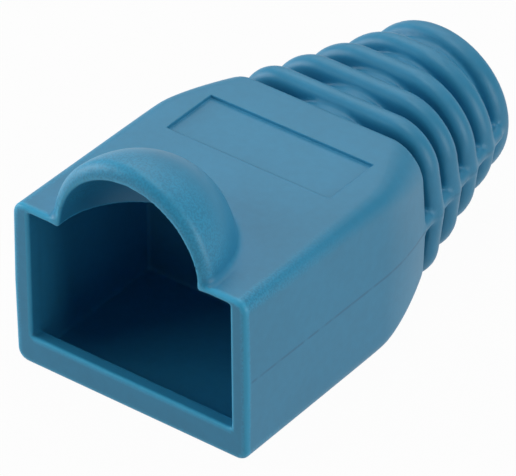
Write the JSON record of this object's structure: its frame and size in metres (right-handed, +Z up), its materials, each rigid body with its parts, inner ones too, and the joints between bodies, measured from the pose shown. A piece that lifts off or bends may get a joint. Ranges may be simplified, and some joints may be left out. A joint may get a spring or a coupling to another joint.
{
  "type": "rj45 strain relief boot",
  "caption": "Soft slip-on strain relief boot for a modular network plug: a boxy open-mouthed housing with a latch hood and label recess, tapering to a ribbed cable sleeve.",
  "frame": {"origin": "middle of the boot's footprint, on the flat base face it stands on", "axes": "+X across the mouth, +Y along the cable from the mouth to the cable end, +Z up through the label side"},
  "size_m": [0.0138, 0.0244, 0.0136],
  "materials": {
    "soft_pvc": "satin"
  },
  "bodies": {
    "root": {"boot": "soft_pvc"}
  },
  "joints": []
}
